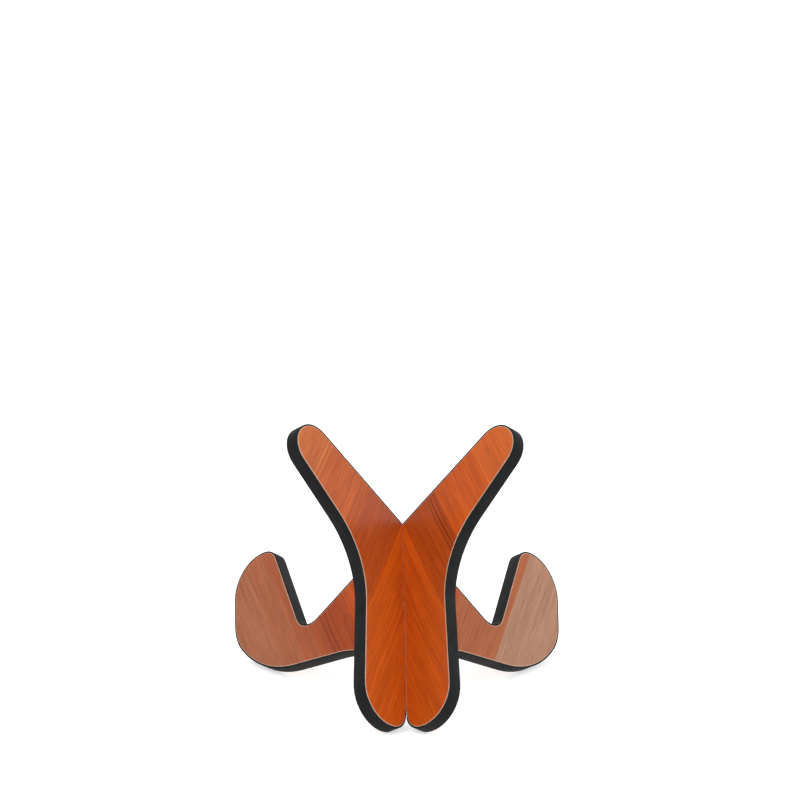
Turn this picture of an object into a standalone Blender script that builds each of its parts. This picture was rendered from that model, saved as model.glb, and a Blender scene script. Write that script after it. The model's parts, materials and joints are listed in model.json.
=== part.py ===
"""Wooden floor stand of two like boards that cross in half-length slots.

Each board is a flat plate with three prongs: an arm to lean the load on, a front leg
and a rear foot whose raised end keeps the load in its cradle. The boards stand square
to each other and cross along one leaning line. Each is a core between two
veneers, and a soft strip is laid round its edge. The left board's slot opens upward
and the right board's slot opens downward, so the right board lifts off along that line.

A board is drawn flat: across is the distance from the crossing line, positive towards
the arm and the leg, and along is the height up the crossing line. The viewer stands at
-Y, on the side of the legs, and X points to the viewer's right.
"""

import math

import bmesh
import bpy
from mathutils import Matrix, Vector

# Thicknesses and clearances, in metres
BOARD_THICKNESS = 0.012
VENEER_THICKNESS = 0.0006
STRIP_THICKNESS = 0.0011
GLUE_GAP = 0.0003
SLOT_CLEARANCE = 0.0003
STRIP_SQUASH = 0.0006

# Angle between the two boards about the crossing line: their slots are cut square
CROSSING_ANGLE = math.radians(90.0)

# Corners of a board's face, in order round it: across, along, radius of the rounding
ARM_TIP_UPPER = (0.1165, 0.0565, 0.0235)
ARM_TIP_LOWER = (0.1395, 0.0285, 0.0215)
WAIST = (0.0500, -0.0455, 0.0880)
LEG_OUTER = (0.0550, -0.1975, 0.0310)
LEG_INNER = (0.0090, -0.1880, 0.0150)
ARCH = (-0.0055, -0.1020, 0.0880)
FOOT_SOLE = (-0.1620, -0.0845, 0.0950)
FOOT_HEEL = (-0.1975, -0.0425, 0.0430)
FOOT_TOP_OUTER = (-0.2005, 0.0400, 0.0360)
FOOT_TOP_INNER = (-0.1520, 0.0310, 0.0170)
CRADLE_OUTER = (-0.1195, -0.0520, 0.0200)
CRADLE_INNER = (-0.1055, -0.0600, 0.0240)
FACE_CORNERS = (
    ARM_TIP_UPPER,
    ARM_TIP_LOWER,
    WAIST,
    LEG_OUTER,
    LEG_INNER,
    ARCH,
    FOOT_SOLE,
    FOOT_HEEL,
    FOOT_TOP_OUTER,
    FOOT_TOP_INNER,
    CRADLE_OUTER,
    CRADLE_INNER,
)

# How far a round stretch may stray from its true arc
ARC_TOLERANCE = 0.00008

# The crossing line's lean from upright is found between these, to this angle
LEAN_SOUGHT = (math.radians(20.0), math.radians(70.0))
LEAN_TOLERANCE = math.radians(1e-9)

# Colour and roughness of each surface
CORE_LOOK = ((0.62, 0.42, 0.24), 0.6)
VENEER_LOOK = ((0.48, 0.12, 0.03), 0.35)
STRIP_LOOK = ((0.02, 0.022, 0.024), 0.6)

STRIP_INNER = GLUE_GAP
STRIP_OUTER = GLUE_GAP + STRIP_THICKNESS
HALF_BOARD = BOARD_THICKNESS / 2
HALF_CORE = HALF_BOARD - VENEER_THICKNESS - GLUE_GAP
HALF_SLOT = HALF_BOARD + SLOT_CLEARANCE
SIDES = {"left": -1, "right": 1}


def left_of(direction):
    """The direction a quarter turn to the left."""
    return Vector((-direction.y, direction.x))


def edge_turns(corners):
    """Each corner's place, way in, turn and radius, with radii that fit their edges."""
    places = [Vector(corner[:2]) for corner in corners]
    count = len(places)
    ways = [(places[(i + 1) % count] - places[i]).normalized() for i in range(count)]
    turns = []
    for i in range(count):
        way_in = ways[i - 1]
        turns.append(math.atan2(left_of(way_in).dot(ways[i]), way_in.dot(ways[i])))
    reaches = [corners[i][2] * math.tan(abs(turns[i]) / 2) for i in range(count)]
    lengths = [(places[(i + 1) % count] - places[i]).length for i in range(count)]
    room = [min(1.0, lengths[i] / (reaches[i] + reaches[(i + 1) % count])) for i in range(count)]
    rows = []
    for i in range(count):
        fit = min(room[i - 1], room[i])
        rows.append((places[i], ways[i - 1], turns[i], corners[i][2] * fit, reaches[i] * fit))
    return rows


def rounded_outline(corners):
    """Points round the face, each with its outward direction, clockwise."""
    outline = []
    for place, way_in, turn, radius, reach in edge_turns(corners):
        start = place - way_in * reach
        side = math.copysign(1.0, turn)
        centre = start + left_of(way_in) * radius * side
        step_angle = 2 * math.acos(1 - ARC_TOLERANCE / radius)
        steps = max(2, math.ceil(abs(turn) / step_angle))
        for step in range(steps + 1):
            outward = left_of(way_in)
            outward.rotate(Matrix.Rotation(turn * step / steps, 2))
            outline.append((centre - outward * radius * side, outward))
    return outline


def offset_outline(outline, distance):
    """The outline's points, moved outward."""
    return [point + outward * distance for point, outward in outline]


def heights_at(points, across):
    """Where the outline crosses one line parallel to the crossing line, lowest first."""
    found = []
    for start, end in zip(points, points[1:] + points[:1]):
        if (start.x - across) * (end.x - across) < 0:
            share = (across - start.x) / (end.x - start.x)
            found.append(start.y + (end.y - start.y) * share)
    return sorted(found)


def board_axes(side, lean):
    """World directions of across, along and the board's normal, as a rotation."""
    half = CROSSING_ANGLE / 2
    across = Vector((
        side * math.sin(half),
        -math.cos(half) * math.cos(lean),
        math.cos(half) * math.sin(lean),
    ))
    along = Vector((0, math.sin(lean), math.cos(lean)))
    return Matrix((across, along, across.cross(along))).transposed()


def lowest(points, axes, side):
    """Height of the lowest of these points, on the face that looks down."""
    return min((axes @ Vector((p.x, p.y, -side * HALF_BOARD))).z for p in points)


def level_lean(points):
    """Lean of the crossing line from upright at which leg and foot meet one floor."""
    leg = [p for p in points if p.x > 0]
    foot = [p for p in points if p.x < 0]
    low, high = LEAN_SOUGHT
    while high - low > LEAN_TOLERANCE:
        middle = (low + high) / 2
        axes = board_axes(1, middle)
        if lowest(leg, axes, 1) < lowest(foot, axes, 1):
            low = middle
        else:
            high = middle
    return (low + high) / 2


def material(name, color, roughness):
    """A plain surface of one colour."""
    surface = bpy.data.materials.new(name)
    surface.use_nodes = True
    shader = surface.node_tree.nodes["Principled BSDF"]
    shader.inputs["Base Color"].default_value = (*color, 1)
    shader.inputs["Roughness"].default_value = roughness
    shader.inputs["Metallic"].default_value = 0
    return surface


def add_object(name, form, parent, surface):
    """Turns a bmesh into an object that hangs on its board's empty."""
    bmesh.ops.recalc_face_normals(form, faces=form.faces)
    mesh = bpy.data.meshes.new(name)
    form.to_mesh(mesh)
    form.free()
    part = bpy.data.objects.new(name, mesh)
    bpy.context.collection.objects.link(part)
    part.parent = parent
    if surface:
        mesh.materials.append(surface)
    return part


def thicken(form, faces, low, high):
    """Draws flat faces out from one height to another."""
    bmesh.ops.translate(form, verts=form.verts, vec=(0, 0, low))
    grown = bmesh.ops.extrude_face_region(form, geom=faces)["geom"]
    moved = [item for item in grown if isinstance(item, bmesh.types.BMVert)]
    bmesh.ops.translate(form, verts=moved, vec=(0, 0, high - low))


def add_plate(name, outline, low, high, parent, surface):
    """A flat sheet of the face's outline."""
    form = bmesh.new()
    ring = [form.verts.new((point.x, point.y, 0)) for point, _ in outline]
    face = form.faces.new(ring)
    thicken(form, [face], low, high)
    return add_object(name, form, parent, surface)


def add_strip(name, outline, parent, surface):
    """The soft strip that runs round the board's edge, as wide as the board is thick."""
    form = bmesh.new()
    inner = [form.verts.new((p.x, p.y, 0)) for p in offset_outline(outline, STRIP_INNER)]
    outer = [form.verts.new((p.x, p.y, 0)) for p in offset_outline(outline, STRIP_OUTER)]
    faces = []
    for i in range(len(inner)):
        faces.append(form.faces.new((inner[i - 1], inner[i], outer[i], outer[i - 1])))
    thicken(form, faces, -HALF_BOARD, HALF_BOARD)
    return add_object(name, form, parent, surface)


def add_cutter(name, low, high, parent=None):
    """A box between two corners that only cuts."""
    form = bmesh.new()
    bmesh.ops.create_cube(form, size=1)
    size = Vector(high) - Vector(low)
    bmesh.ops.scale(form, verts=form.verts, vec=size)
    bmesh.ops.translate(form, verts=form.verts, vec=Vector(low) + size / 2)
    cutter = add_object(name, form, parent, None)
    cutter.hide_render = True
    cutter.display_type = 'WIRE'
    return cutter


def cut(part, cutter):
    """Takes the cutter's space out of a part."""
    boolean = part.modifiers.new(cutter.name, 'BOOLEAN')
    boolean.operation = 'DIFFERENCE'
    boolean.solver = 'EXACT'
    boolean.object = cutter


def add_board(name, side, opens_up, outline, frame, surfaces, floor):
    """One board: core, two veneers and the strip, cut by its slot."""
    axes, origin = frame
    empty = bpy.data.objects.new(name + "_board", None)
    bpy.context.collection.objects.link(empty)
    empty.matrix_world = Matrix.Translation(origin) @ axes.to_4x4()

    points = [point for point, _ in outline]
    bottom, top = heights_at(points, 0)[-2:]
    middle = (bottom + top) / 2
    reach = max(p.length for p in points)
    end = middle + SLOT_CLEARANCE / 2
    slot_low = (-HALF_SLOT, -reach, -BOARD_THICKNESS)
    slot_high = (HALF_SLOT, end, BOARD_THICKNESS)
    if opens_up:
        end = middle - SLOT_CLEARANCE / 2
        slot_low = (-HALF_SLOT, end, -BOARD_THICKNESS)
        slot_high = (HALF_SLOT, reach, BOARD_THICKNESS)
    slot = add_cutter(name + "_slot", slot_low, slot_high, empty)

    veneer_faces = (HALF_BOARD - VENEER_THICKNESS, HALF_BOARD)
    up = sorted(side * height for height in veneer_faces)
    down = sorted(-side * height for height in veneer_faces)
    core, veneer, strip = surfaces
    parts = [
        add_plate(name + "_core", outline, -HALF_CORE, HALF_CORE, empty, core),
        add_plate(name + "_upper_veneer", outline, *up, empty, veneer),
        add_plate(name + "_under_veneer", outline, *down, empty, veneer),
        add_strip(name + "_edge_strip", outline, empty, strip),
    ]
    for part in parts:
        cut(part, slot)
    cut(parts[-1], floor)


def main():
    for old in list(bpy.data.objects):
        bpy.data.objects.remove(old)

    outline = rounded_outline(FACE_CORNERS)
    edge = offset_outline(outline, STRIP_OUTER)
    lean = level_lean(edge)
    axes = {name: board_axes(side, lean) for name, side in SIDES.items()}
    rise = -lowest(edge, axes["right"], SIDES["right"]) - STRIP_SQUASH

    # The box round the stand is centred on the origin
    depths = []
    for height in (-HALF_BOARD, HALF_BOARD):
        depths += [(axes["right"] @ Vector((p.x, p.y, height))).y for p in edge]
    origin = Vector((0, -(min(depths) + max(depths)) / 2, rise))

    surfaces = (
        material("core_wood", *CORE_LOOK),
        material("veneer", *VENEER_LOOK),
        material("soft_edge", *STRIP_LOOK),
    )
    reach = 2 * max(p.length for p in edge)
    floor = add_cutter("floor", (-reach, -reach, -reach), (reach, reach, 0))
    for name, side in SIDES.items():
        opens_up = name == "left"
        add_board(name, side, opens_up, outline, (axes[name], origin), surfaces, floor)


main()
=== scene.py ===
"""Looks of a low floor stand of two veneered boards that cross in slots.

The solids come from the loaded frame. This file lays the lacquered veneer with its sanded
arris, the rounded soft strip round every edge and the bare wood in the slots, and sets up
the floor, the lamps and the camera.
"""
import json
import math

import bpy
from bpy.props import FloatProperty, FloatVectorProperty, PointerProperty
from mathutils import Matrix, Vector


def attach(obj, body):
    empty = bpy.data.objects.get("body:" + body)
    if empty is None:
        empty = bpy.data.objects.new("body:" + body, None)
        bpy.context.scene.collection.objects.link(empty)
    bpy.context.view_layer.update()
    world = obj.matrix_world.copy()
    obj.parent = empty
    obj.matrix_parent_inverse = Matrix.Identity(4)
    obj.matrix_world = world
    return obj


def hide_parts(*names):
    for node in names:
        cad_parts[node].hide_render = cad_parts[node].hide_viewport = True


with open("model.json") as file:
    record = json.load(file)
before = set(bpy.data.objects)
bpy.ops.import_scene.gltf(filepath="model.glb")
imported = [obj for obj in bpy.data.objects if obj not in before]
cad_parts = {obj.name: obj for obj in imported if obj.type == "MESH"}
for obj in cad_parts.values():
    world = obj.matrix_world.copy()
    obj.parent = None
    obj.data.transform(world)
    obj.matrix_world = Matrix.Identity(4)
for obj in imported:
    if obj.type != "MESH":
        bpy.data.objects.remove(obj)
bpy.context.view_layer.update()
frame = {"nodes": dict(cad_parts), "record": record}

bl_info = {
    "name": "Crossed Board Stand",
    "version": (1, 0, 0),
    "blender": (4, 5, 0),
    "location": "View3D > Sidebar > Stand",
    "description": "Finishes a floor stand of two crossed, veneered boards",
    "category": "Object",
}

SIDES = {"left": -1, "right": 1}
SHEETS = ("upper_veneer", "under_veneer")

# The line on which the boards cross: its direction, and its middle
CROSSING_WAY = Vector(frame["record"]["behaviour"]["joints"][0]["axis"]).normalized()
CROSSING_MIDDLE = Vector((0, 0.0150, 0.1368))
CROSSING_HALF_ANGLE = math.radians(45)

# Points closer than this are one point, and faces that meet at less than this one flat face
MERGE_DISTANCE = 0.00001
FLAT_ANGLE = math.radians(0.5)

# A face counts as outer when its normal is this close to the board's own
OUTER_SHARE = 0.99

# Shape of the sanded arris and of the strip's rounding
ARRIS_SEGMENTS = 2
ARRIS_PROFILE = 0.6
ARRIS_SMOOTH_ANGLE = math.radians(20)
ROUNDING_SEGMENTS = 3
ROUNDING_ANGLE = math.radians(60)
STRIP_SMOOTH_ANGLE = math.radians(35)

# Turn of the grain from the crossing line: below zero, its upper end leans away from the arm
GRAIN_TURN = math.radians(-24.6)

# Leaves of veneer on each board, among them painted sheen and a painted reflection: where each
# band begins, across the grain, and its colour
BAND_SPAN = (-0.200, 0.150)
LEAVES_AND_REFLECTIONS = {
    "left": (
        # Painted sheen: the pale bands from -0.200 to -0.078 on the foot are the white
        # surroundings mirrored in the lacquer
        (-0.200, (0.560, 0.285, 0.175)),
        (-0.136, (0.545, 0.150, 0.038)),
        (-0.078, (0.690, 0.116, 0.004)),
        # Painted reflection: at 0.0055 the tone steps through the crossing's upper end,
        # brighter and more orange below it, where the other board's face is mirrored, and
        # darker above
        (0.0055, (0.520, 0.088, 0.008)),
        (0.0480, (0.620, 0.122, 0.012)),
        (0.0985, (0.800, 0.230, 0.050)),
        (0.1000, (0.660, 0.160, 0.026)),
        (0.1030, (0.800, 0.230, 0.050)),
        (0.1042, (0.670, 0.165, 0.028)),
    ),
    "right": (
        # Painted sheen: the pale bands from -0.200 to -0.109 on the foot, paler step by step
        # towards its end, are the white surroundings mirrored in the lacquer
        (-0.200, (0.500, 0.172, 0.078)),
        (-0.160, (0.505, 0.155, 0.062)),
        (-0.138, (0.500, 0.128, 0.040)),
        (-0.120, (0.485, 0.100, 0.020)),
        (-0.109, (0.480, 0.076, 0.005)),
        (-0.078, (0.640, 0.104, 0.004)),
        # Painted reflection: at 0.0055 the tone steps through the crossing's upper end,
        # brighter and more orange below it, where the other board's face is mirrored, and
        # darker above
        (0.0055, (0.500, 0.078, 0.004)),
        (0.0460, (0.700, 0.115, 0.005)),
        (0.0930, (0.780, 0.155, 0.016)),
    ),
}

# Dark lines in each board's figure: place across the grain, half width, depth
FIGURE_LINES = {
    "left": (
        (0.0300, 0.0006, 0.25),
        (0.0590, 0.0007, 0.35),
        (0.0690, 0.0009, 0.40),
        (0.0800, 0.0006, 0.25),
        (-0.0300, 0.0006, 0.30),
        (-0.0900, 0.0008, 0.40),
    ),
    "right": (
        (0.0362, 0.0008, 0.70),
        (0.0398, 0.0010, 0.85),
        (0.0435, 0.0007, 0.60),
        (0.0240, 0.0006, 0.40),
        (0.0170, 0.0006, 0.35),
        (0.0700, 0.0006, 0.30),
        (-0.0200, 0.0006, 0.30),
        (-0.0960, 0.0007, 0.50),
        (-0.1015, 0.0010, 0.75),
        (-0.1060, 0.0009, 0.65),
    ),
}

# Colour of those lines, and how far they stray across the grain
FIGURE_COLOR = (0.22, 0.12, 0.09)
FIGURE_WANDER = 0.003

# Patterns in wood: features per metre across the grain and along it, and their detail
PORES = (1500, 60, 4)
STREAKS = (330, 9, 5)
CLOUDS = (45, 11, 3)
WANDER = (3, 14, 1)
ARRIS_STREAKS = (420, 70, 4)
CORE_FIBRES = (500, 40, 4)
PATTERN_ROUGHNESS = 0.6

# How a pattern darkens the wood: the range it is read over, its darkest tint and its share
WHITE = (1.0, 1.0, 1.0)
CLOUD_TINT = ((0.35, 0.65), (0.84, 0.78, 0.72), 0.7)
STREAK_TINT = ((0.40, 0.62), (0.55, 0.42, 0.34), 0.36)
PORE_TINT = ((0.38, 0.55), (0.60, 0.50, 0.42), 0.45)
FIBRE_TINT = ((0.35, 0.65), (0.75, 0.70, 0.64), 0.7)

# Veneer: satin lacquer, a little rougher in the dark streaks, over fine pores
VENEER_SURFACE = {"Specular IOR Level": 0.20, "Coat Roughness": 0.18}
VENEER_ROUGHNESS = ((0.3, 0.7), (0.48, 0.40))
PORE_BUMP = {"Strength": 0.25, "Distance": 0.00005}

# Arris: uneven, so that it is darker in streaks
ARRIS_SURFACE = {"Roughness": 0.42}
ARRIS_WORN_RANGE = (0.35, 0.65)
ARRIS_DARK_SHARE = 0.72

# Strip: leathery cells, wear that lightens and polishes it, and a few scuffs
STRIP_SURFACE = {"Specular IOR Level": 0.14}
STRIP_CELLS = {"Scale": 900.0}
STRIP_BUMP = {"Strength": 0.35, "Distance": 0.0001}
STRIP_WEAR = {"Scale": 60.0, "Detail": 5.0, "Roughness": 0.6}
STRIP_WEAR_RANGE = (0.3, 0.7)
STRIP_WORN_SHARE = 1.7
STRIP_ROUGHNESS = (0.72, 0.60)
SCUFFS = {"Scale": 26.0, "Detail": 7.0, "Roughness": 0.7}
SCUFF_RANGE = (0.58, 0.74)
SCUFF_SHARE = 0.7

# Core: plies of equal thickness, every other one darker, with a soft line between them
CORE_SURFACE = {"Roughness": 0.75}
PLY_THICKNESS = 0.0018
PLY_LINE = (0.0007, 0.0011)
PLY_DARK_SHARE = 0.70

# Floor: its surface, and the light added where the floor is seen
FLOOR_SURFACE = {
    "Base Color": (0.78, 0.78, 0.78, 1),
    "Roughness": 0.8,
    "Emission Color": (1, 1, 1, 1),
}
FLOOR_LIFT = 0.60

# World: its strength as a light on the stand, and where the world itself is seen
WORLD_LIGHT = 0.55
WORLD_SEEN = 1.0

# Lamps: place, side in metres and power in watts
LAMPS = {
    "key": ((-1.3, -1.6, 2.2), 1.4, 31),
    "fill": ((1.8, -1.0, 1.5), 1.6, 15),
    "back": ((0.3, 2.0, 2.0), 1.8, 20),
    "sheen": ((1.9, 0.8, 0.9), 0.9, 2),
}

# Sockets of a mix node: its share, then those that are for colours
MIX_SHARE, MIX_FIRST, MIX_SECOND = 0, 6, 7
MIX_RESULT = 2


class StandFinish(bpy.types.PropertyGroup):
    """Colours and fine sizes of the stand's surfaces."""

    arris_color: FloatVectorProperty(
        name="Arris colour", description="Sanded edge of the veneer", subtype='COLOR',
        size=3, min=0, max=1, default=(0.86, 0.56, 0.42))
    strip_color: FloatVectorProperty(
        name="Strip colour", description="Soft strip round the boards", subtype='COLOR',
        size=3, min=0, max=1, default=(0.006, 0.0065, 0.007))
    scuff_color: FloatVectorProperty(
        name="Scuff colour", description="Rubbed places on the strip", subtype='COLOR',
        size=3, min=0, max=1, default=(0.050, 0.030, 0.020))
    wood_color: FloatVectorProperty(
        name="Wood colour", description="Bare core in the slots", subtype='COLOR',
        size=3, min=0, max=1, default=(0.56, 0.36, 0.19))
    arris_width: FloatProperty(
        name="Arris width", description="Width of the sanded edge", unit='LENGTH',
        default=0.00055, min=0.0001, max=0.0006, precision=5)
    strip_round: FloatProperty(
        name="Strip rounding", description="Radius of the strip's edges", unit='LENGTH',
        default=0.00035, min=0.0001, max=0.0005, precision=5)
    lacquer: FloatProperty(
        name="Lacquer", description="Strength of the clear coat", subtype='FACTOR',
        default=0.09, min=0, max=1)


class StandStage(bpy.types.PropertyGroup):
    """Camera, floor and light."""

    azimuth: FloatProperty(
        name="Azimuth", description="Turn of the view about the upright", subtype='ANGLE',
        default=math.radians(2.20))
    pitch: FloatProperty(
        name="Pitch", description="How far the view looks down", subtype='ANGLE',
        default=math.radians(10.99))
    roll: FloatProperty(
        name="Roll", description="Turn of the picture", subtype='ANGLE',
        default=math.radians(0.64))
    lens: FloatProperty(
        name="Lens", description="Focal length in millimetres", default=108.0, min=10)
    place: FloatVectorProperty(
        name="Place", description="Where the camera stands", subtype='TRANSLATION',
        size=3, unit='LENGTH', default=(-0.0794, -1.9722, 0.6343))
    floor_size: FloatProperty(
        name="Floor size", description="Side of the floor", unit='LENGTH', default=120.0)


def board_way(side):
    """Direction on a board, square to the crossing line, towards its arm."""
    lean = math.atan2(CROSSING_WAY.y, CROSSING_WAY.z)
    half = CROSSING_HALF_ANGLE
    return Vector((
        SIDES[side] * math.sin(half),
        -math.cos(half) * math.cos(lean),
        math.cos(half) * math.sin(lean),
    ))


def board_normal(side):
    """Direction out of a board's upper face."""
    return board_way(side).cross(CROSSING_WAY) * SIDES[side]


def grain_frame(side):
    """Rotation whose X runs across the grain and Y along it, in the board's plane."""
    way = board_way(side)
    across = way * math.cos(GRAIN_TURN) - CROSSING_WAY * math.sin(GRAIN_TURN)
    along = way * math.sin(GRAIN_TURN) + CROSSING_WAY * math.cos(GRAIN_TURN)
    return Matrix((across, along, across.cross(along))).transposed()


def select_only(piece):
    """Leaves one object selected and active."""
    bpy.ops.object.select_all(action='DESELECT')
    piece.select_set(True)
    bpy.context.view_layer.objects.active = piece


def set_sockets(node, values):
    """Sets some of a node's sockets by name."""
    for name, value in values.items():
        node.inputs[name].default_value = value


def textured(tree, kind, places, values):
    """A texture node that reads the given places, with some sockets set by name."""
    node = tree.nodes.new(kind)
    set_sockets(node, values)
    tree.links.new(places, node.inputs["Vector"])
    return node


def new_material(name):
    """A material, its node tree and its shader."""
    surface = bpy.data.materials.new(name)
    surface.use_nodes = True
    tree = surface.node_tree
    return surface, tree, tree.nodes["Principled BSDF"]


def board_coordinates(tree, side):
    """Places on a board, measured across the grain, along it and through the board."""
    place = tree.nodes.new("ShaderNodeTexCoord")
    mapping = tree.nodes.new("ShaderNodeMapping")
    mapping.vector_type = 'TEXTURE'
    mapping.inputs["Location"].default_value = CROSSING_MIDDLE
    mapping.inputs["Rotation"].default_value = grain_frame(side).to_euler('XYZ')
    tree.links.new(place.outputs["Object"], mapping.inputs["Vector"])
    return mapping.outputs["Vector"]


def wood_pattern(tree, places, pattern):
    """Noise drawn out along the grain."""
    across, along, detail = pattern
    scale = tree.nodes.new("ShaderNodeVectorMath")
    scale.operation = 'MULTIPLY'
    scale.inputs[1].default_value = (across, along, along)
    tree.links.new(places, scale.inputs[0])
    values = {"Scale": 1.0, "Detail": detail, "Roughness": PATTERN_ROUGHNESS}
    return textured(tree, "ShaderNodeTexNoise", scale.outputs["Vector"], values).outputs["Fac"]


def math_node(tree, operation, first, second):
    """The result of a sum on two sockets or values."""
    node = tree.nodes.new("ShaderNodeMath")
    node.operation = operation
    for socket, value in zip(node.inputs, (first, second)):
        if isinstance(value, (int, float)):
            socket.default_value = value
        else:
            tree.links.new(value, socket)
    return node.outputs["Value"]


def map_range(tree, value, low, high, to_low, to_high):
    """A value moved from one range to another, and held at its ends."""
    node = tree.nodes.new("ShaderNodeMapRange")
    sockets = ("From Min", "From Max", "To Min", "To Max")
    for name, number in zip(sockets, (low, high, to_low, to_high)):
        node.inputs[name].default_value = number
    tree.links.new(value, node.inputs["Value"])
    return node.outputs["Result"]


def background_rays(tree):
    """1 for a ray that shows the background: seen straight, in a gloss or through glass."""
    rays = tree.nodes.new("ShaderNodeLightPath")
    mirrored = math_node(tree, 'MAXIMUM', rays.outputs["Is Glossy Ray"],
                         rays.outputs["Is Transmission Ray"])
    return math_node(tree, 'MAXIMUM', rays.outputs["Is Camera Ray"], mirrored)


def mix_colors(tree, blend, share, first, second):
    """Two colours mixed, each a socket or a colour."""
    node = tree.nodes.new("ShaderNodeMix")
    node.data_type = 'RGBA'
    node.blend_type = blend
    for index, value in ((MIX_SHARE, share), (MIX_FIRST, first), (MIX_SECOND, second)):
        socket = node.inputs[index]
        if isinstance(value, bpy.types.NodeSocket):
            tree.links.new(value, socket)
        elif isinstance(value, (int, float)):
            socket.default_value = value
        else:
            socket.default_value = (*value, 1)
    return node.outputs[MIX_RESULT]


def shade(color, share):
    """A colour made darker or lighter."""
    return [part * share for part in color]


def darken(tree, color, pattern, tint):
    """A colour darkened where a pattern runs low."""
    (low, high), darkest, share = tint
    lightness = map_range(tree, pattern, low, high, 0, 1)
    return mix_colors(tree, 'MULTIPLY', share, color,
                      mix_colors(tree, 'MIX', lightness, darkest, WHITE))


def add_bump(tree, shader, height, values):
    """Fine relief on a surface."""
    bump = tree.nodes.new("ShaderNodeBump")
    set_sockets(bump, values)
    tree.links.new(height, bump.inputs["Height"])
    tree.links.new(bump.outputs["Normal"], shader.inputs["Normal"])


def leaf_and_reflection_colors(tree, across, leaves_and_reflections):
    """Colour of each band: leaves of veneer, painted sheen on the feet and a painted
    reflection below the crossing, with a crisp joint between them.
    """
    low, high = BAND_SPAN
    ramp = tree.nodes.new("ShaderNodeValToRGB")
    ramp.color_ramp.interpolation = 'CONSTANT'
    stops = ramp.color_ramp.elements
    while len(stops) < len(leaves_and_reflections):
        stops.new(1.0)
    for stop, (start, color) in zip(stops, leaves_and_reflections):
        stop.position = (start - low) / (high - low)
        stop.color = (*color, 1)
    tree.links.new(map_range(tree, across, low, high, 0, 1), ramp.inputs["Fac"])
    return ramp.outputs["Color"]


def figure_lines(tree, across, wander, lines):
    """How dark the figure's lines are, from 0 to 1."""
    drift = map_range(tree, wander, 0, 1, -FIGURE_WANDER, FIGURE_WANDER)
    shifted = math_node(tree, 'ADD', across, drift)
    darkest = 0.0
    for place, half_width, depth in lines:
        gap = math_node(tree, 'SUBTRACT', shifted, place)
        distance = math_node(tree, 'ABSOLUTE', gap, 0.0)
        dark = map_range(tree, distance, 0, half_width, depth, 0)
        darkest = math_node(tree, 'MAXIMUM', dark, darkest)
    return darkest


def veneer_material(side, finish):
    """Reddish-orange veneer under satin lacquer."""
    surface, tree, shader = new_material(side + "_veneer")
    places = board_coordinates(tree, side)
    split = tree.nodes.new("ShaderNodeSeparateXYZ")
    tree.links.new(places, split.inputs["Vector"])
    across = split.outputs["X"]

    pores = wood_pattern(tree, places, PORES)
    streaks = wood_pattern(tree, places, STREAKS)
    clouds = wood_pattern(tree, places, CLOUDS)
    wander = wood_pattern(tree, places, WANDER)

    # Band colours, with painted sheen on the feet and a painted reflection below the crossing
    color = leaf_and_reflection_colors(tree, across, LEAVES_AND_REFLECTIONS[side])
    color = darken(tree, color, clouds, CLOUD_TINT)
    color = darken(tree, color, streaks, STREAK_TINT)
    color = darken(tree, color, pores, PORE_TINT)
    lines = figure_lines(tree, across, wander, FIGURE_LINES[side])
    color = mix_colors(tree, 'MULTIPLY', lines, color, FIGURE_COLOR)
    tree.links.new(color, shader.inputs["Base Color"])

    read, given = VENEER_ROUGHNESS
    tree.links.new(map_range(tree, streaks, *read, *given), shader.inputs["Roughness"])
    set_sockets(shader, VENEER_SURFACE)
    shader.inputs["Coat Weight"].default_value = finish.lacquer
    add_bump(tree, shader, pores, PORE_BUMP)
    return surface


def arris_material(side, finish):
    """A paler colour along the veneer's bevelled edge."""
    surface, tree, shader = new_material(side + "_arris")
    places = board_coordinates(tree, side)
    streaks = wood_pattern(tree, places, ARRIS_STREAKS)
    sanding = map_range(tree, streaks, *ARRIS_WORN_RANGE, 0, 1)
    edge_tone = mix_colors(tree, 'MIX', sanding,
                      shade(finish.arris_color, ARRIS_DARK_SHARE), finish.arris_color)
    tree.links.new(edge_tone, shader.inputs["Base Color"])
    set_sockets(shader, ARRIS_SURFACE)
    shader.inputs["Coat Weight"].default_value = finish.lacquer
    return surface


def strip_material(finish):
    """Matt black soft strip with a fine leathery grain."""
    surface, tree, shader = new_material("soft_edge")
    places = tree.nodes.new("ShaderNodeTexCoord").outputs["Object"]
    cells = textured(tree, "ShaderNodeTexVoronoi", places, STRIP_CELLS).outputs["Distance"]
    wear = textured(tree, "ShaderNodeTexNoise", places, STRIP_WEAR).outputs["Fac"]
    scuffs = textured(tree, "ShaderNodeTexNoise", places, SCUFFS).outputs["Fac"]

    tone = mix_colors(tree, 'MIX', map_range(tree, wear, *STRIP_WEAR_RANGE, 0, 1),
                      finish.strip_color, shade(finish.strip_color, STRIP_WORN_SHARE))
    tone = mix_colors(tree, 'MIX', map_range(tree, scuffs, *SCUFF_RANGE, 0, SCUFF_SHARE),
                      tone, finish.scuff_color)
    tree.links.new(tone, shader.inputs["Base Color"])

    roughness = map_range(tree, wear, *STRIP_WEAR_RANGE, *STRIP_ROUGHNESS)
    tree.links.new(roughness, shader.inputs["Roughness"])
    set_sockets(shader, STRIP_SURFACE)
    add_bump(tree, shader, cells, STRIP_BUMP)
    return surface


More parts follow.
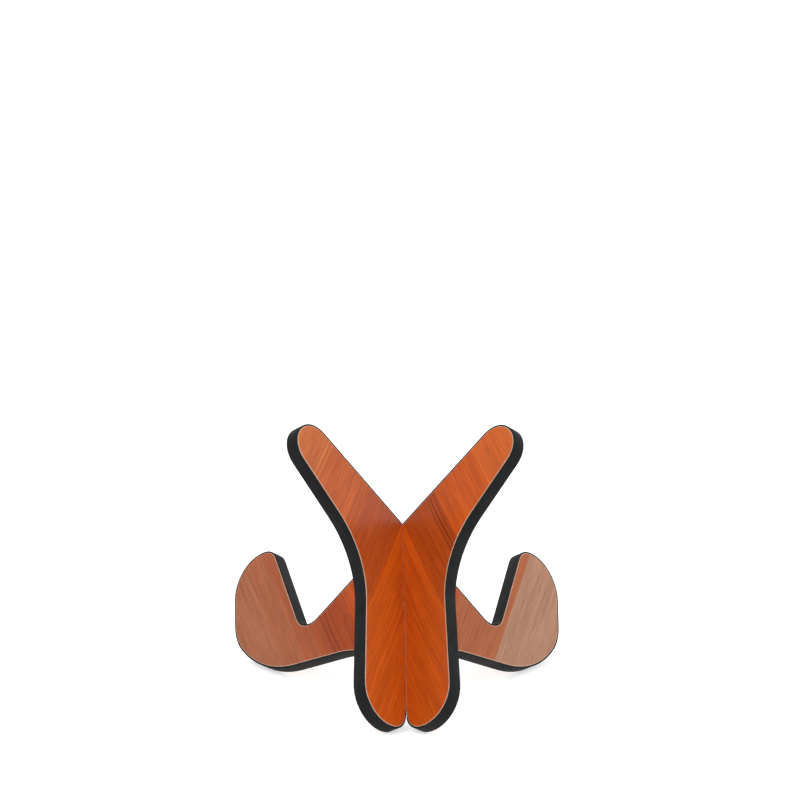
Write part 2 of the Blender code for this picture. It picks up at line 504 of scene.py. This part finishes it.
def core_material(side, finish):
    """Bare plywood: pale plies stacked through the board's thickness."""
    surface, tree, shader = new_material(side + "_core_wood")
    places = board_coordinates(tree, side)
    split = tree.nodes.new("ShaderNodeSeparateXYZ")
    tree.links.new(places, split.inputs["Vector"])
    plies = tree.nodes.new("ShaderNodeMath")
    plies.operation = 'PINGPONG'
    plies.inputs[1].default_value = PLY_THICKNESS
    tree.links.new(split.outputs["Z"], plies.inputs[0])
    ply = map_range(tree, plies.outputs["Value"], *PLY_LINE, 0, 1)

    tone = mix_colors(tree, 'MIX', ply, finish.wood_color,
                      shade(finish.wood_color, PLY_DARK_SHARE))
    tone = darken(tree, tone, wood_pattern(tree, places, CORE_FIBRES), FIBRE_TINT)
    tree.links.new(tone, shader.inputs["Base Color"])
    set_sockets(shader, CORE_SURFACE)
    return surface


def copy_node(node, name):
    """A merged copy of a CAD node, ready to be finished."""
    select_only(frame["nodes"][node])
    bpy.ops.object.duplicate()
    piece = bpy.context.active_object
    piece.name = name
    piece.data = piece.data.copy()
    piece.data.materials.clear()
    bpy.ops.object.mode_set(mode='EDIT')
    bpy.ops.mesh.select_all(action='SELECT')
    bpy.ops.mesh.remove_doubles(threshold=MERGE_DISTANCE)
    bpy.ops.mesh.select_all(action='DESELECT')
    bpy.ops.object.mode_set(mode='OBJECT')
    return piece


class STAND_OT_veneers(bpy.types.Operator):
    """Lay the veneers, with a sanded arris round the outer face."""

    bl_idname = "stand.veneers"
    bl_label = "Veneers"

    def execute(self, context):
        finish = context.scene.stand_finish
        for side in SIDES:
            face = veneer_material(side, finish)
            arris = arris_material(side, finish)
            for sheet in SHEETS:
                self.add_sheet(side, sheet, face, arris, finish.arris_width)
        return {'FINISHED'}

    def add_sheet(self, side, sheet, face, arris, width):
        """One veneer, bevelled round the face that shows."""
        node = side + "_" + sheet
        piece = copy_node(node, node + "_laid")
        piece.data.materials.append(face)
        piece.data.materials.append(arris)
        outward = board_normal(side)
        if sheet == "under_veneer":
            outward = -outward
        for polygon in piece.data.polygons:
            polygon.select = polygon.normal.dot(outward) > OUTER_SHARE
        bpy.ops.object.mode_set(mode='EDIT')
        bpy.ops.mesh.select_mode(type='FACE')
        bpy.ops.mesh.dissolve_limited(angle_limit=FLAT_ANGLE)
        bpy.ops.mesh.region_to_loop()
        bpy.ops.mesh.bevel(offset=width, segments=ARRIS_SEGMENTS, profile=ARRIS_PROFILE,
                           material=piece.data.materials.find(arris.name), clamp_overlap=True)
        bpy.ops.mesh.select_all(action='DESELECT')
        bpy.ops.object.mode_set(mode='OBJECT')
        bpy.ops.object.shade_smooth_by_angle(angle=ARRIS_SMOOTH_ANGLE)
        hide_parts(node)
        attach(piece, side + "_board")


class STAND_OT_edge_strips(bpy.types.Operator):
    """Lay the soft strips, rounded along both their edges."""

    bl_idname = "stand.edge_strips"
    bl_label = "Edge strips"

    def execute(self, context):
        finish = context.scene.stand_finish
        surface = strip_material(finish)
        for side in SIDES:
            node = side + "_edge_strip"
            piece = copy_node(node, node + "_laid")
            piece.data.materials.append(surface)
            rounding = piece.modifiers.new("rounding", 'BEVEL')
            rounding.width = finish.strip_round
            rounding.segments = ROUNDING_SEGMENTS
            rounding.limit_method = 'ANGLE'
            rounding.angle_limit = ROUNDING_ANGLE
            rounding.use_clamp_overlap = False
            bpy.ops.object.modifier_apply(modifier=rounding.name)
            # The flats under the strip stay on the floor
            for point in piece.data.vertices:
                point.co.z = max(point.co.z, 0.0)
            bpy.ops.object.shade_smooth_by_angle(angle=STRIP_SMOOTH_ANGLE)
            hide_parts(node)
            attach(piece, side + "_board")
        return {'FINISHED'}


class STAND_OT_cores(bpy.types.Operator):
    """Give the plywood cores their bare wood."""

    bl_idname = "stand.cores"
    bl_label = "Cores"

    def execute(self, context):
        for side in SIDES:
            core = frame["nodes"][side + "_core"]
            core.data.materials.clear()
            core.data.materials.append(core_material(side, context.scene.stand_finish))
        return {'FINISHED'}


class STAND_OT_stage(bpy.types.Operator):
    """Set up the floor, the lamps, the world and the camera."""

    bl_idname = "stand.stage"
    bl_label = "Stage"

    def execute(self, context):
        stage = context.scene.stand_stage
        self.add_floor(stage.floor_size)
        self.add_world(context.scene)
        for name, (place, size, power) in LAMPS.items():
            self.add_lamp(name, place, size, power)
        self.add_camera(context.scene, stage)
        context.scene.view_settings.view_transform = 'Standard'
        return {'FINISHED'}

    def add_floor(self, size):
        """A pale floor that reaches the horizon and keeps the stand's shadow."""
        bpy.ops.object.select_all(action='DESELECT')
        bpy.ops.mesh.primitive_plane_add(size=size)
        floor = bpy.context.active_object
        floor.name = "floor"
        surface, tree, shader = new_material("pale_floor")
        set_sockets(shader, FLOOR_SURFACE)
        lift = math_node(tree, 'MULTIPLY', background_rays(tree), FLOOR_LIFT)
        tree.links.new(lift, shader.inputs["Emission Strength"])
        floor.data.materials.append(surface)

    def add_world(self, scene):
        """An even light from all round, seen as white."""
        world = bpy.data.worlds.new("studio")
        world.use_nodes = True
        scene.world = world
        tree = world.node_tree
        background = tree.nodes["Background"]
        background.inputs["Color"].default_value = (*WHITE, 1)
        strength = map_range(tree, background_rays(tree), 0, 1, WORLD_LIGHT, WORLD_SEEN)
        tree.links.new(strength, background.inputs["Strength"])

    def add_lamp(self, name, place, size, power):
        """A square lamp turned to the boards' crossing."""
        bpy.ops.object.light_add(type='AREA', location=place)
        lamp = bpy.context.active_object
        lamp.name = name
        lamp.data.size = size
        lamp.data.energy = power
        way = CROSSING_MIDDLE - Vector(place)
        lamp.rotation_euler = way.to_track_quat('-Z', 'Y').to_euler()

    def add_camera(self, scene, stage):
        """The camera, in front and a little above."""
        bpy.ops.object.camera_add(location=stage.place)
        camera = bpy.context.active_object
        camera.name = "camera"
        camera.data.lens = stage.lens
        camera.data.clip_end = stage.floor_size * 2
        turn = Matrix.Rotation(-stage.azimuth, 3, 'Z')
        tilt = Matrix.Rotation(math.radians(90) - stage.pitch, 3, 'X')
        roll = Matrix.Rotation(stage.roll, 3, 'Z')
        camera.rotation_euler = (turn @ tilt @ roll).to_euler()
        scene.camera = camera


class STAND_PT_panel(bpy.types.Panel):
    """Lists the stand's steps in the sidebar."""

    bl_label = "Stand"
    bl_idname = "STAND_PT_panel"
    bl_space_type = 'VIEW_3D'
    bl_region_type = 'UI'
    bl_category = "Stand"

    def draw(self, context):
        for step in STEPS:
            self.layout.operator(step.bl_idname)


STEPS = (STAND_OT_cores, STAND_OT_veneers, STAND_OT_edge_strips, STAND_OT_stage)
CLASSES = (StandFinish, StandStage, *STEPS, STAND_PT_panel)


def register():
    for item in CLASSES:
        bpy.utils.register_class(item)
    bpy.types.Scene.stand_finish = PointerProperty(type=StandFinish)
    bpy.types.Scene.stand_stage = PointerProperty(type=StandStage)


def unregister():
    del bpy.types.Scene.stand_stage
    del bpy.types.Scene.stand_finish
    for item in reversed(CLASSES):
        bpy.utils.unregister_class(item)


def main():
    register()
    bpy.ops.stand.cores()
    bpy.ops.stand.veneers()
    bpy.ops.stand.edge_strips()
    bpy.ops.stand.stage()


if __name__ == "__main__":
    main()
